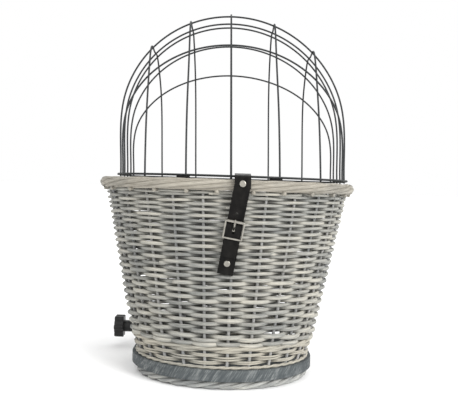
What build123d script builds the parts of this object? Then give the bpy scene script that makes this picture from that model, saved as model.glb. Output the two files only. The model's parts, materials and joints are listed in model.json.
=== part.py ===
from build123d import *

# Willow pet basket for a bicycle handlebar, with a hinged wire dome.
# Units are millimetres. +Z is up, the strap side faces -Y and the flat back, which carries
# the bicycle mount, faces +Y. The origin is on the ground, under the middle of the overall box.
import os
from math import atan2, cos, pi, radians, sin, sqrt

os.makedirs("parts", exist_ok=True)

# ---------------- driving dimensions ----------------
# willow basket
BOARD_HALF_WIDTH = 120.0
BOARD_FRONT = -147.0
BOARD_BACK = 68.0
BOARD_BOTTOM = 11.5
BOARD_THICKNESS = 14.0
FOOT_INSET = 9.5
FOOT_WIDTH = 10.0
WALL_THICKNESS = 9.0
WALL_FOOT = (116.0, -143.0, 64.0)  # half-width, front and back of the wall's outer face, low
WALL_HEAD = (165.4, -163.5, 126.5)  # the same under the border
UPSETT_TOP = 48.0
WALE_TOP = 54.0
NOSE_SHARE = 0.5  # share of the depth that the half-ellipse front takes
CORNER_SHARE = 0.16  # back corner radius as a share of the depth
BORDER_RADIUS = 7.25
RIM_HALF_WIDTH = 167.0
RIM_FRONT = -165.0
RIM_BACK = 128.0
RIM_Z = 249.0
STAKE_COUNT = 27
STAKE_RADIUS = 2.0
STAKE_TURN = 0.27  # the first stake stands this part of a spacing past the front's middle

# wire dome
RING_Z = 260.0
RING_HALF_WIDTH = 156.5
RING_FRONT = -144.0
RING_BACK = 123.0
RING_NOSE = 0.45
RING_CORNER = 0.07
RING_RADIUS = 1.4
WIRE_RADIUS = 1.2
WIRE_END = 3.0  # wire ends stand this far below the ring
CAGE_X = 7.0  # the dome sits a little to the right in its loose leather hinges
CAGE_LEAN = 0.031  # and leans back to the middle towards its top
HOOPS = {  # station along Y, height of the crown
    "hoop_front": (-62.0, 435.0),
    "hoop_crown_front": (-27.0, 481.3),
    "hoop_crown_middle": (9.0, 479.8),
    "hoop_crown_back": (37.0, 480.8),
    "hoop_back_upper": (70.0, 459.8),
    "hoop_back_lower": (101.0, 421.0),
}
HOOP_ARC_SHARE = 0.70  # the round top takes up to this share of a hoop's rise
HOOP_STEPS = 6  # points of a hoop's line from its side to its crown
RIBS = {
    "rib_far_left": -111.0,
    "rib_left": -57.5,
    "rib_centre": -2.0,
    "rib_right": 57.5,
    "rib_far_right": 111.0,
}

# leather and buckle
LEATHER = 1.8
STRAP_WIDTH = 19.2
STRAP_X = 18.7
STRAP_LEAN = radians(9.2)
RIVET_TOP_Z = 250.9
BUCKLE_Z = 196.6
RIVET_LOW_Z = 155.9
STRAP_END_Z = 163.7
LOWER_STRAP_END_Z = 142.9
RIVET_HEAD_RADIUS = 4.0
RIVET_SHANK = 1.5
LOWER_RIVET_SHANK = 2.0
WASHER_RADIUS = 6.0
HINGE_TAIL = 35.0  # how far the hinge leather hangs down the wall
HINGE_STRAP_WIDTH = 21.0
HINGE_STRAP_X = 74.0
HINGE_STRAP_SHIFT = 3.0

# bicycle mount on the back
BAR_RADIUS = 12.75
BAR_RISE = 199.5
BAR_OUT = 43.5
CLAMP_X = 38.0
CLAMP_WIDTH = 22.0
CLAMP_RADIUS = 17.5
LUG_REACH = 21.3
LUG_THICKNESS = 7.0
SPLIT_GAP = 1.0
RAIL_WIDTH = 20.0
RAIL_THICKNESS = 3.0
BOLT_RADIUS = 2.5
BOLT_CLEARANCE = 0.1
BOLT_HEAD = (5.0, 2.8)  # radius and height
BOLT_TAIL = 7.5  # how far a bolt stands past the inner face of the wall
NUT_SIZE = (8.0, 4.0)  # across flats and thickness
CLAMP_SCREW_RADIUS = 3.0
CLAMP_SCREW_HEAD = (5.0, 4.5)
SOCKET_SIZE = (2.5, 2.5)  # half across flats and depth
CLAMP_END = 5.5  # metal past a clamp screw's axis
CLAMP_BLOCK = 22.0
BACKING_THICKNESS = 2.0
RAIL_RISE = (38.0, 208.0)
BACKING_STRIP_RISE = (40.0, 183.0)
PLATE_CORNER = 5.0
BRACKET_RISE = (2.0, 34.0)
BRACKET_BACKING_RISE = (10.0, 34.0)
EAR_EYE = 9.0
RAIL_BOLT_LOW = 52.0
RAIL_BOLT_HIGH = 171.0
STAKE_DODGE = 6.5  # the low right bolt passes beside a stake
BRACKET_BOLT_X = (-60.0, 21.0)
BRACKET_BOLT_RISE = 24.0
HINGE_RIVET_RISE = 196.0
SPINDLE_Y = 88.0
SPINDLE_Z = 28.4
SPINDLE_RADIUS = 4.0
TUBE_RADIUS = 17.0
TUBE_BEHIND_SPINDLE = 28.0
PAD_THICKNESS = 2.0
JAW_HEIGHT = 24.0
JAW_OUTER_X = 28.0
JAW_TRAVEL = 5.0

# ---------------- derived values ----------------
BOARD_TOP = BOARD_BOTTOM + BOARD_THICKNESS
WALL_TOP = RIM_Z - BORDER_RADIUS - 0.05
WALL_RISE = WALL_TOP - BOARD_TOP
BACK_ANGLE = atan2(WALL_HEAD[2] - WALL_FOOT[2], WALL_RISE)
BACK_UP = Vector(0, sin(BACK_ANGLE), cos(BACK_ANGLE))
BACK_OUT = Vector(0, cos(BACK_ANGLE), -sin(BACK_ANGLE))
WALL_DEEP = WALL_THICKNESS * cos(BACK_ANGLE)  # the back wall's thickness, square to its face


def on_back(x, rise, out):
    """A point on the back wall: rise up its slope, and out from its outer face."""
    return Vector(x, WALL_FOOT[2], BOARD_TOP) + BACK_UP * rise + BACK_OUT * out


def wall_size(z, inset=0.0):
    """Half-width, front and back of the wall at height z, moved inwards by inset."""
    share = (z - BOARD_TOP) / WALL_RISE
    half_width, front, back = (a + share * (b - a) for a, b in zip(WALL_FOOT, WALL_HEAD))
    return half_width - inset, front + inset, back - inset


def wall_front(out, z):
    """Y of a point at height z, out in front of the wall's outer face at the middle."""
    return wall_size(z)[1] - out


def d_wire(z, half_width, front, back, nose=NOSE_SHARE, corner_share=CORNER_SHARE, x=0.0):
    """A D-shaped closed wire: half-ellipse front, straight sides, flat back, round corners."""
    shoulder = front + nose * (back - front)
    corner = corner_share * (back - front)
    inner = half_width - corner
    with BuildLine(Plane.XY.offset(z)) as outline:
        EllipticalCenterArc((x, shoulder), half_width, shoulder - front, 270, arc_size=90)
        Line((x + half_width, shoulder), (x + half_width, back - corner))
        CenterArc((x + inner, back - corner), corner, 0, 90)
        Line((x + inner, back), (x - inner, back))
        CenterArc((x - inner, back - corner), corner, 90, 90)
        Line((x - half_width, back - corner), (x - half_width, shoulder))
        EllipticalCenterArc((x, shoulder), half_width, shoulder - front, 180, arc_size=90)
    return outline.wire()


def d_face(z, half_width, front, back):
    return Face(d_wire(z, half_width, front, back))


def finish(piece, name):
    piece.part.label = name
    export_step(piece.part, f"parts/{name}.step")


# ---------------- stakes and base ----------------
def stake_ends():
    """Foot and head of each stake, on the middle line of the wall."""
    middle = WALL_THICKNESS / 2
    foot_z = BOARD_BOTTOM + 0.7
    foot_wire = d_wire(foot_z, *wall_size(foot_z, middle))
    head_wire = d_wire(WALL_TOP - 0.2, *wall_size(WALL_TOP - 0.2, middle))
    shares = [((i + STAKE_TURN) / STAKE_COUNT) % 1.0 for i in range(STAKE_COUNT)]
    return [(foot_wire.position_at(u), head_wire.position_at(u)) for u in shares]


STAKES = stake_ends()


def stake_rods(radius):
    with BuildPart() as rods:
        for foot, head in STAKES:
            with BuildSketch(Plane(origin=foot, z_dir=head - foot)):
                Circle(radius)
            extrude(amount=(head - foot).length)
    return rods


stakes = stake_rods(STAKE_RADIUS)
finish(stakes, "stakes")
stake_holes = stake_rods(STAKE_RADIUS + 0.05)

with BuildPart() as base_board:
    with BuildSketch(Plane.XY.offset(BOARD_BOTTOM)):
        add(d_face(0, BOARD_HALF_WIDTH, BOARD_FRONT, BOARD_BACK))
    extrude(amount=BOARD_THICKNESS)
    chamfer(base_board.faces().filter_by(Axis.Z).edges(), 0.8)
    add(stake_holes.part, mode=Mode.SUBTRACT)
finish(base_board, "base_board")

FOOT_LINE = (BOARD_HALF_WIDTH - FOOT_INSET, BOARD_FRONT + FOOT_INSET, BOARD_BACK - FOOT_INSET)
with BuildPart() as foot_border:
    foot_path = d_wire(BOARD_BOTTOM / 2, *FOOT_LINE)
    with BuildSketch(Plane(origin=foot_path @ 0, x_dir=(0, 0, 1), z_dir=foot_path % 0)):
        RectangleRounded(BOARD_BOTTOM - 0.02, FOOT_WIDTH, 3.6)
    sweep(path=foot_path)
finish(foot_border, "foot_border")


# ---------------- woven wall and rim ----------------
# bolt and rivet axes through the back wall: X and rise of each
RAIL_BOLTS = [(x, rise) for x in (-CLAMP_X, CLAMP_X) for rise in (RAIL_BOLT_LOW, RAIL_BOLT_HIGH)]
RAIL_BOLTS[2] = (CLAMP_X - STAKE_DODGE, RAIL_BOLT_LOW)
BRACKET_BOLTS = [(x, BRACKET_BOLT_RISE) for x in BRACKET_BOLT_X]
HINGE_RIVETS = [(side * HINGE_STRAP_X + HINGE_STRAP_SHIFT, HINGE_RIVET_RISE) for side in (-1, 1)]
BOLT_HOLE = BOLT_RADIUS + BOLT_CLEARANCE
DRILLED = ((RAIL_BOLTS, BOLT_HOLE), (BRACKET_BOLTS, BOLT_HOLE), (HINGE_RIVETS, RIVET_SHANK + 0.1))


def back_pins(places, radius, low, high):
    """Round pins square to the back wall, from out = low to out = high."""
    with BuildPart() as pins:
        for x, rise in places:
            with BuildSketch(Plane(origin=on_back(x, rise, low), z_dir=BACK_OUT)):
                Circle(radius)
            extrude(amount=high - low)
    return pins


def front_plane(out, z):
    """A plane square to the front wall at the strap's middle line, facing outwards."""
    x = STRAP_X - (RIVET_TOP_Z - z) * sin(STRAP_LEAN) / cos(STRAP_LEAN)
    return Plane(origin=(x, wall_front(out, z), z), z_dir=(0, -1, 0))


for band_name, band_low, band_high in (
    ("upsett_weave", BOARD_TOP, UPSETT_TOP),
    ("wale_band", UPSETT_TOP, WALE_TOP),
    ("wall_weave", WALE_TOP, WALL_TOP),
):
    with BuildPart() as band:
        loft([d_face(z, *wall_size(z)) for z in (band_low, band_high)], ruled=True)
        inside = [d_face(z, *wall_size(z, WALL_THICKNESS)) for z in (band_low, band_high)]
        loft(inside, ruled=True, mode=Mode.SUBTRACT)
        add(stake_holes.part, mode=Mode.SUBTRACT)
        for places, hole_radius in DRILLED:
            add(back_pins(places, hole_radius, -20, 10).part, mode=Mode.SUBTRACT)
        with BuildSketch(front_plane(10, RIVET_LOW_Z)):
            Circle(LOWER_RIVET_SHANK + 0.1)
        extrude(amount=-30, mode=Mode.SUBTRACT)
    finish(band, band_name)

with BuildPart() as rim_border:
    rim_path = d_wire(RIM_Z, RIM_HALF_WIDTH, RIM_FRONT, RIM_BACK)
    with BuildSketch(Plane(origin=rim_path @ 0, z_dir=rim_path % 0)):
        Circle(BORDER_RADIUS)
    sweep(path=rim_path)
finish(rim_border, "rim_border")


# ---------------- wire dome ----------------
def lean_x(z):
    """Where the dome's middle line stands at height z."""
    return CAGE_X - CAGE_LEAN * (z - RING_Z)


def ring_half_width(y):
    """Half-width of the ring at y, and how far its line is turned there."""
    shoulder = RING_FRONT + RING_NOSE * (RING_BACK - RING_FRONT)
    if y >= shoulder:
        return RING_HALF_WIDTH, 1.0
    depth = shoulder - RING_FRONT
    share = (shoulder - y) / depth
    half_width = RING_HALF_WIDTH * sqrt(1 - share * share)
    slope = RING_HALF_WIDTH * share / depth / sqrt(1 - share * share)
    return half_width, sqrt(1 + slope * slope)


def ring_front_y(x):
    """Y of the ring's front line at x from the dome's middle line."""
    shoulder = RING_FRONT + RING_NOSE * (RING_BACK - RING_FRONT)
    return shoulder - (shoulder - RING_FRONT) * sqrt(1 - (x / RING_HALF_WIDTH) ** 2)


def hoop_foot(y):
    half_width, turn = ring_half_width(y)
    return half_width - (RING_RADIUS + WIRE_RADIUS + 0.05) * turn


def hoop_shape(y, top):
    """Half-width of a hoop, and the height of its round top."""
    half_width = hoop_foot(y)
    return half_width, min(half_width, HOOP_ARC_SHARE * (top - RING_Z))


def hoop_height(y, top, x):
    half_width, arc = hoop_shape(y, top)
    return top - arc + arc * sqrt(1 - (x / half_width) ** 2)


def wire_sweep(path, radius):
    with BuildPart() as wire:
        with BuildSketch(Plane(origin=path @ 0, z_dir=path % 0)):
            Circle(radius)
        sweep(path=path)
    return wire


finish(
    wire_sweep(
        d_wire(RING_Z, RING_HALF_WIDTH, RING_FRONT, RING_BACK, RING_NOSE, RING_CORNER, CAGE_X), RING_RADIUS
    ),
    "cage_ring",
)

for hoop_name, (hoop_y, hoop_top) in HOOPS.items():
    hoop_width, hoop_arc = hoop_shape(hoop_y, hoop_top)
    spring_z = hoop_top - hoop_arc
    foot_z = RING_Z - WIRE_END
    legs = [(foot_z, 1.0), ((foot_z + spring_z) / 2, 1.0)]
    arc_angles = [pi / 2 * step / HOOP_STEPS for step in range(HOOP_STEPS)]
    crown = [(spring_z + hoop_arc * sin(angle), cos(angle)) for angle in arc_angles]
    left = [(lean_x(z) - hoop_width * reach, hoop_y, z) for z, reach in legs + crown]
    right = [(lean_x(z) + hoop_width * reach, hoop_y, z) for z, reach in legs + crown]
    with BuildLine() as hoop_line:
        Spline(left + [(lean_x(hoop_top), hoop_y, hoop_top)] + right[::-1])
    finish(wire_sweep(hoop_line.wire(), WIRE_RADIUS), hoop_name)


def rib_points(x):
    """A rib's route: up from the ring's front, over the hoops, and down to the ring's back."""
    crossings = [(y, hoop_height(y, top, x)) for y, top in HOOPS.values()]
    front_y = ring_front_y(x) + RING_RADIUS + WIRE_RADIUS + 0.3
    back_y = RING_BACK - RING_RADIUS - WIRE_RADIUS - 0.05
    ends = [(front_y, RING_Z)] + crossings + [(back_y, RING_Z)]
    route = [(front_y, RING_Z - WIRE_END)]
    first_y, first_z = crossings[0]
    last_y, last_z = crossings[-1]
    route.append((front_y + 0.30 * (first_y - front_y), RING_Z + 0.52 * (first_z - RING_Z)))
    for i, (y, z) in enumerate(crossings, start=1):
        (y0, z0), (y1, z1) = ends[i - 1], ends[i + 1]
        along = (z1 - z0) / (y1 - y0)
        half_width, arc = hoop_shape(*list(HOOPS.values())[i - 1])
        across = arc * x / half_width**2 / sqrt(1 - (x / half_width) ** 2)
        gap = 2 * WIRE_RADIUS + 0.1
        tilt = sqrt(1 + along * along)
        lift = gap * sqrt(1 + along * along + across * across)
        route.append((y - lift * along / tilt**2, z + lift / tilt**2))
    route.append((last_y + 0.8 * (back_y - last_y), RING_Z + 0.5 * (last_z - RING_Z)))
    route.append((back_y, RING_Z - WIRE_END))
    return [(lean_x(z) + x, y, z) for y, z in route]


for rib_name, rib_x in RIBS.items():
    with BuildLine() as rib_line:
        Spline(rib_points(rib_x))
    finish(wire_sweep(rib_line.wire(), WIRE_RADIUS), rib_name)


# ---------------- leather straps ----------------
def side_plane(x, z=0.0, lean=0.0):
    """A plane across the basket: its X is +Y and its Y is up, leaning by lean."""
    return Plane(origin=(x, 0, z), x_dir=(0, 1, 0), z_dir=(cos(lean), 0, -sin(lean)))


for side, side_name in ((-1, "left"), (1, "right")):
    loop = RING_RADIUS + 0.3 + LEATHER / 2
    inner_back, outer_back = (wall_size(WALL_TOP, t)[2] for t in (WALL_THICKNESS, 0))
    slope = (WALL_HEAD[2] - WALL_FOOT[2]) / WALL_RISE
    half = LEATHER / 2 + 0.15
    hinge_route = [
        (inner_back - half - slope * HINGE_TAIL, WALL_TOP - HINGE_TAIL),
        (inner_back - half - 0.6 - slope * 6, WALL_TOP - 6),
        (RIM_BACK - BORDER_RADIUS - half - 0.4, RIM_Z),
        (RING_BACK - loop, RING_Z - 4),
        (RING_BACK - loop, RING_Z + loop),
        (RING_BACK + loop, RING_Z + loop),
        (RIM_BACK + BORDER_RADIUS + half + 1.2, RIM_Z + 3.6),
        (RIM_BACK + BORDER_RADIUS + half + 1.2, RIM_Z - 5),
        (outer_back + half + 0.5 - slope * 12, WALL_TOP - 12),
        (outer_back + half - slope * HINGE_TAIL, WALL_TOP - HINGE_TAIL),
    ]
    with BuildPart() as hinge_strap:
        with BuildSketch(side_plane(side * HINGE_STRAP_X + HINGE_STRAP_SHIFT)):
            with BuildLine():
                FilletPolyline(hinge_route, radius=[4, 4, 2, 2.6, 2.6, 2.5, 3, 4])
            trace(line_width=LEATHER)
        extrude(amount=HINGE_STRAP_WIDTH / 2, both=True)
        add(back_pins(HINGE_RIVETS, RIVET_SHANK + 0.05, -20, 10).part, mode=Mode.SUBTRACT)
    finish(hinge_strap, f"hinge_strap_{side_name}")


def button_rivets(places, low, high, shank, head, head_height):
    """Rivets square to the back wall, with a low domed head outside and a flat one inside."""
    with BuildPart() as rivets:
        add(back_pins(places, shank, low, high).part)
        add(back_pins(places, head, low - head_height, low).part)
        add(back_pins(places, head, high, high + head_height).part)
        round_edges = rivets.edges().filter_by(GeomType.CIRCLE)
        fillet(round_edges.filter_by(lambda e: abs(e.radius - head) < 0.01), 0.6)
    return rivets


hinge_rivets = button_rivets(
    HINGE_RIVETS, -WALL_DEEP - LEATHER - 0.5, LEATHER + 0.5, RIVET_SHANK, RIVET_HEAD_RADIUS, 1.5
)
finish(hinge_rivets, "hinge_rivets")

LAYER = LEATHER + 0.1
BACK_LAYER = 0.2 + LEATHER / 2
BAR_WIRE = 1.0
BAR_AT = 0.2 + LEATHER + 0.1 + BAR_WIRE  # how far out the buckle's middle bar lies
FOLD_LAYER = BAR_AT + BAR_WIRE + 0.1 + LEATHER / 2
PINCHED_LAYER = BACK_LAYER + LAYER
ROLLER_AT = 7.0
ROLLER_Z = BUCKLE_Z + 9.5
BOTTOM_BAR_Z = BUCKLE_Z - 10.6
MIDDLE_BAR_Z = BUCKLE_Z - 1.0
FRAME_WIRE = 1.15
BOTTOM_BAR_AT = FOLD_LAYER + LAYER + LEATHER / 2 + 0.1 + FRAME_WIRE
FRAME_HALF_WIDTH = STRAP_WIDTH / 2 + 0.3 + FRAME_WIRE
SLOT_WIDTH = 3.2
PRONG_WIRE = 0.9
PRONG_CLEARANCE = 0.08
ROLLER_RADIUS = 1.9


def strap_point(out, z):
    """Y and slant height of a point in the leaning strap's own plane."""
    return wall_front(out, z), (z - RIVET_TOP_Z) / cos(STRAP_LEAN)


def strap_band(route, radii, width=STRAP_WIDTH):
    """A leather band along a route of (out, z) points, leaning with the strap."""
    with BuildPart() as band:
        with BuildSketch(side_plane(STRAP_X, RIVET_TOP_Z, STRAP_LEAN)):
            with BuildLine():
                FilletPolyline([strap_point(*p) for p in route], radius=radii)
            trace(line_width=LEATHER)
        extrude(amount=width / 2, both=True)
    return band


def strap_slot(low, high):
    """A cutter for the prong's slot through the leather, between two heights."""
    middle = (low + high) / 2
    with BuildPart() as slot:
        with BuildSketch(strap_face(16, middle)):
            SlotOverall((high - low) / cos(STRAP_LEAN), SLOT_WIDTH, rotation=90)
        extrude(amount=-15.9)
    return slot


def strap_face(out, z):
    """A plane on the strap facing forwards, with its Y axis along the strap."""
    place = front_plane(out, z)
    return Plane(origin=place.origin, x_dir=(cos(STRAP_LEAN), 0, -sin(STRAP_LEAN)), z_dir=(0, -1, 0))


fold = BAR_WIRE + 0.1 + LEATHER / 2
with BuildPart() as lower_strap:
    add(
        strap_band(
            [
                (BACK_LAYER, LOWER_STRAP_END_Z),
                (BACK_LAYER, MIDDLE_BAR_Z - 3),
                (BAR_AT - fold, MIDDLE_BAR_Z),
                (BAR_AT - fold, MIDDLE_BAR_Z + fold),
                (FOLD_LAYER, MIDDLE_BAR_Z + fold),
                (FOLD_LAYER, MIDDLE_BAR_Z - 16),
                (PINCHED_LAYER, RIVET_LOW_Z + 7),
                (PINCHED_LAYER, LOWER_STRAP_END_Z),
            ],
            [0, 0, 1.95, 1.95, 8, 8],
        ).part
    )
    add(strap_slot(MIDDLE_BAR_Z - 3.7, MIDDLE_BAR_Z + 5).part, mode=Mode.SUBTRACT)
    with BuildSketch(front_plane(12, RIVET_LOW_Z)):
        Circle(LOWER_RIVET_SHANK + 0.05)
    extrude(amount=-12, mode=Mode.SUBTRACT)
finish(lower_strap, "lower_strap")

with BuildPart() as lower_rivet:
    rivet_out = PINCHED_LAYER + LEATHER / 2 + 0.45
    with BuildSketch(front_plane(rivet_out, RIVET_LOW_Z)):
        Circle(RIVET_HEAD_RADIUS)
    extrude(amount=1.8)
    fillet(lower_rivet.edges().group_by(Axis.Y)[0], 1.4)
    with BuildSketch(front_plane(rivet_out, RIVET_LOW_Z)):
        Circle(LOWER_RIVET_SHANK)
    extrude(amount=-(rivet_out + WALL_THICKNESS + 1.8))
finish(lower_rivet, "lower_strap_rivet")

with BuildPart() as rivet_washer:
    with BuildSketch(front_plane(-WALL_THICKNESS - 0.7, RIVET_LOW_Z)):
        Circle(WASHER_RADIUS)
        Circle(LOWER_RIVET_SHANK, mode=Mode.SUBTRACT)
    extrude(amount=-1.0)
finish(rivet_washer, "lower_rivet_washer")

# the upper strap goes round the ring in two layers, squarely, then leans down to the buckle
RING_AT_STRAP = ring_front_y(STRAP_X - CAGE_X)
STRAP_LOOP = RING_RADIUS + 0.8 + LEATHER / 2
UNDER_RADIUS = BORDER_RADIUS + 1.0 + LEATHER / 2
OVER_RADIUS = UNDER_RADIUS + LAYER
TAIL_Z = RIVET_TOP_Z - 6
with BuildPart() as upper_strap:
    with BuildSketch(side_plane(STRAP_X)):
        with BuildLine():
            FilletPolyline(
                (RIM_FRONT - UNDER_RADIUS, TAIL_Z),
                (RIM_FRONT - UNDER_RADIUS, RIM_Z + UNDER_RADIUS),
                (RING_AT_STRAP - 4, RING_Z - STRAP_LOOP),
                (RING_AT_STRAP + STRAP_LOOP, RING_Z - STRAP_LOOP),
                (RING_AT_STRAP + STRAP_LOOP, RING_Z + STRAP_LOOP),
                (RIM_FRONT - OVER_RADIUS, RIM_Z + OVER_RADIUS),
                (RIM_FRONT - OVER_RADIUS, RIVET_TOP_Z - 1),
                radius=[UNDER_RADIUS * 0.8, 8, STRAP_LOOP * 0.9, STRAP_LOOP * 0.9, OVER_RADIUS * 0.8],
            )
        trace(line_width=LEATHER)
    extrude(amount=STRAP_WIDTH / 2, both=True)
    over_out = wall_front(0, RIVET_TOP_Z) - (RIM_FRONT - OVER_RADIUS)
    add(
        strap_band(
            [
                (over_out, RIVET_TOP_Z + 2.5),
                (over_out - 1.2, RIVET_TOP_Z - 11),
                (3.9, ROLLER_Z + 3),
                (3.9, ROLLER_Z - 1.5),
                (FOLD_LAYER + LAYER, MIDDLE_BAR_Z + 2.5),
                (FOLD_LAYER + LAYER, MIDDLE_BAR_Z - 17),
                (PINCHED_LAYER + LAYER + 0.6, STRAP_END_Z),
            ],
            [20, 10, 4, 3, 10],
        ).part
    )
    add(strap_slot(MIDDLE_BAR_Z - 3.7, ROLLER_Z - 1).part, mode=Mode.SUBTRACT)
    with BuildSketch(strap_face(30, 215.8)):
        Circle(1.3)
    extrude(amount=-26, mode=Mode.SUBTRACT)
    with BuildSketch(Plane(origin=(STRAP_X, RIM_FRONT - 20, RIVET_TOP_Z), z_dir=(0, 1, 0))):
        Circle(RIVET_SHANK + 0.05)
    extrude(amount=14, mode=Mode.SUBTRACT)
finish(upper_strap, "upper_strap")

with BuildPart() as upper_rivet:
    head_y = RIM_FRONT - OVER_RADIUS - LEATHER / 2 - 0.3
    with BuildSketch(Plane(origin=(STRAP_X, head_y, RIVET_TOP_Z), z_dir=(0, -1, 0))):
        Circle(RIVET_HEAD_RADIUS)
    extrude(amount=1.7)
    fillet(upper_rivet.edges().group_by(Axis.Y)[0], 1.3)
    with BuildSketch(Plane(origin=(STRAP_X, head_y, RIVET_TOP_Z), z_dir=(0, 1, 0))):
        Circle(RIVET_SHANK)
    extrude(amount=2 * LAYER + 0.5)
finish(upper_rivet, "upper_strap_rivet")


# ---------------- buckle ----------------
def buckle_point(side, out, z):
    """A point of the buckle: side across the strap from its middle line."""
    middle = front_plane(out, z).origin
    return Vector(middle.X + side * cos(STRAP_LEAN), middle.Y, middle.Z - side * sin(STRAP_LEAN))


def rod(start, end, radius):
    with BuildPart() as bar:
        with BuildSketch(Plane(origin=start, z_dir=end - start)):
            Circle(radius)
        extrude(amount=(end - start).length)
    return bar.part


def ball(centre, radius):
    with BuildPart() as knuckle:
        with Locations(centre):
            Sphere(radius)
    return knuckle.part


with BuildPart() as buckle_frame:
    corners = {
        (side, end): buckle_point(side * FRAME_HALF_WIDTH, out, z)
        for side in (-1, 1)
        for end, out, z in (("top", ROLLER_AT, ROLLER_Z), ("bottom", BOTTOM_BAR_AT, BOTTOM_BAR_Z))
    }
    for side in (-1, 1):
        add(rod(corners[side, "top"], corners[side, "bottom"], FRAME_WIRE))
        add(ball(corners[side, "top"], FRAME_WIRE))
        add(ball(corners[side, "bottom"], FRAME_WIRE))
        side_out = (ROLLER_AT + BOTTOM_BAR_AT) / 2 - 0.1
        post_head = buckle_point(side * FRAME_HALF_WIDTH, side_out, MIDDLE_BAR_Z)
        post_foot = buckle_point(side * FRAME_HALF_WIDTH, BAR_AT, MIDDLE_BAR_Z)
        add(rod(post_foot, post_head, BAR_WIRE))
        add(ball(post_foot, BAR_WIRE))
    add(rod(corners[-1, "top"], corners[1, "top"], FRAME_WIRE))
    add(rod(corners[-1, "bottom"], corners[1, "bottom"], FRAME_WIRE))
    bar_ends = [buckle_point(side * FRAME_HALF_WIDTH, BAR_AT, MIDDLE_BAR_Z) for side in (-1, 1)]
    add(rod(*bar_ends, BAR_WIRE))
finish(buckle_frame, "buckle_frame")

roller_half = FRAME_HALF_WIDTH - FRAME_WIRE - 0.5
roller_ends = [buckle_point(side * roller_half, ROLLER_AT, ROLLER_Z) for side in (-1, 1)]
with BuildPart() as buckle_roller:
    add(rod(*roller_ends, ROLLER_RADIUS))
    add(rod(*roller_ends, FRAME_WIRE + PRONG_CLEARANCE), mode=Mode.SUBTRACT)
finish(buckle_roller, "buckle_roller")

with BuildPart() as buckle_prong:
    eye_reach = BAR_WIRE + PRONG_CLEARANCE + 2 * PRONG_WIRE
    eye = [buckle_point(side * 1.3, BAR_AT, MIDDLE_BAR_Z) for side in (-1, 1)]
    add(rod(*eye, eye_reach))
    prong_route = [
        buckle_point(0, BAR_AT, MIDDLE_BAR_Z) + Vector(0, -BAR_WIRE - 0.9, 0),
        buckle_point(0, ROLLER_AT + 2.9, MIDDLE_BAR_Z + 5.2),
        buckle_point(0, ROLLER_AT + 3.1, ROLLER_Z + 1.6),
    ]
    add(rod(prong_route[0], prong_route[1], PRONG_WIRE))
    add(ball(prong_route[1], PRONG_WIRE))
    add(rod(prong_route[1], prong_route[2], PRONG_WIRE))
    add(ball(prong_route[2], PRONG_WIRE))
    bore = [buckle_point(side * 3, BAR_AT, MIDDLE_BAR_Z) for side in (-1, 1)]
    add(rod(*bore, BAR_WIRE + PRONG_CLEARANCE), mode=Mode.SUBTRACT)
finish(buckle_prong, "buckle_prong")

# ---------------- handlebar mount ----------------
CLAMP_PLATE = 6.0
FLANGE_HALF = 9.0
FLANGE_RISE = RAIL_BOLT_HIGH
BACKING_LAYER = (-WALL_DEEP - BACKING_THICKNESS, -WALL_DEEP)


def back_slab(x_range, rise_range, out_range, radius=0.0):
    """A flat plate on the back wall."""
    (x0, x1), (r0, r1), (o0, o1) = x_range, rise_range, out_range
    centre = on_back((x0 + x1) / 2, (r0 + r1) / 2, o0)
    with BuildPart() as slab:
        with BuildSketch(Plane(origin=centre, x_dir=(-1, 0, 0), z_dir=BACK_OUT)):
            if radius:
                RectangleRounded(x1 - x0, r1 - r0, radius)
            else:
                Rectangle(x1 - x0, r1 - r0)
        extrude(amount=o1 - o0)
    return slab.part


def bolt_heads(places, base, radius, height):
    heads = back_pins(places, radius, base, base + height)
    with BuildPart() as rounded:
        add(heads.part)
        top_level = on_back(0, 0, base + height).dot(BACK_OUT) - 0.01
        top = rounded.faces().filter_by(lambda f: f.center().dot(BACK_OUT) > top_level)
        fillet(top.edges(), height * 0.45)
    return rounded.part


def nuts(places, base, across, thickness):
    with BuildPart() as hexes:
        for x, rise in places:
            with BuildSketch(Plane(origin=on_back(x, rise, base), x_dir=(-1, 0, 0), z_dir=BACK_OUT)):
                RegularPolygon(across / 2, 6, major_radius=False)
                Circle(BOLT_RADIUS + 0.02, mode=Mode.SUBTRACT)
            extrude(amount=-thickness)
    return hexes


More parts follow.
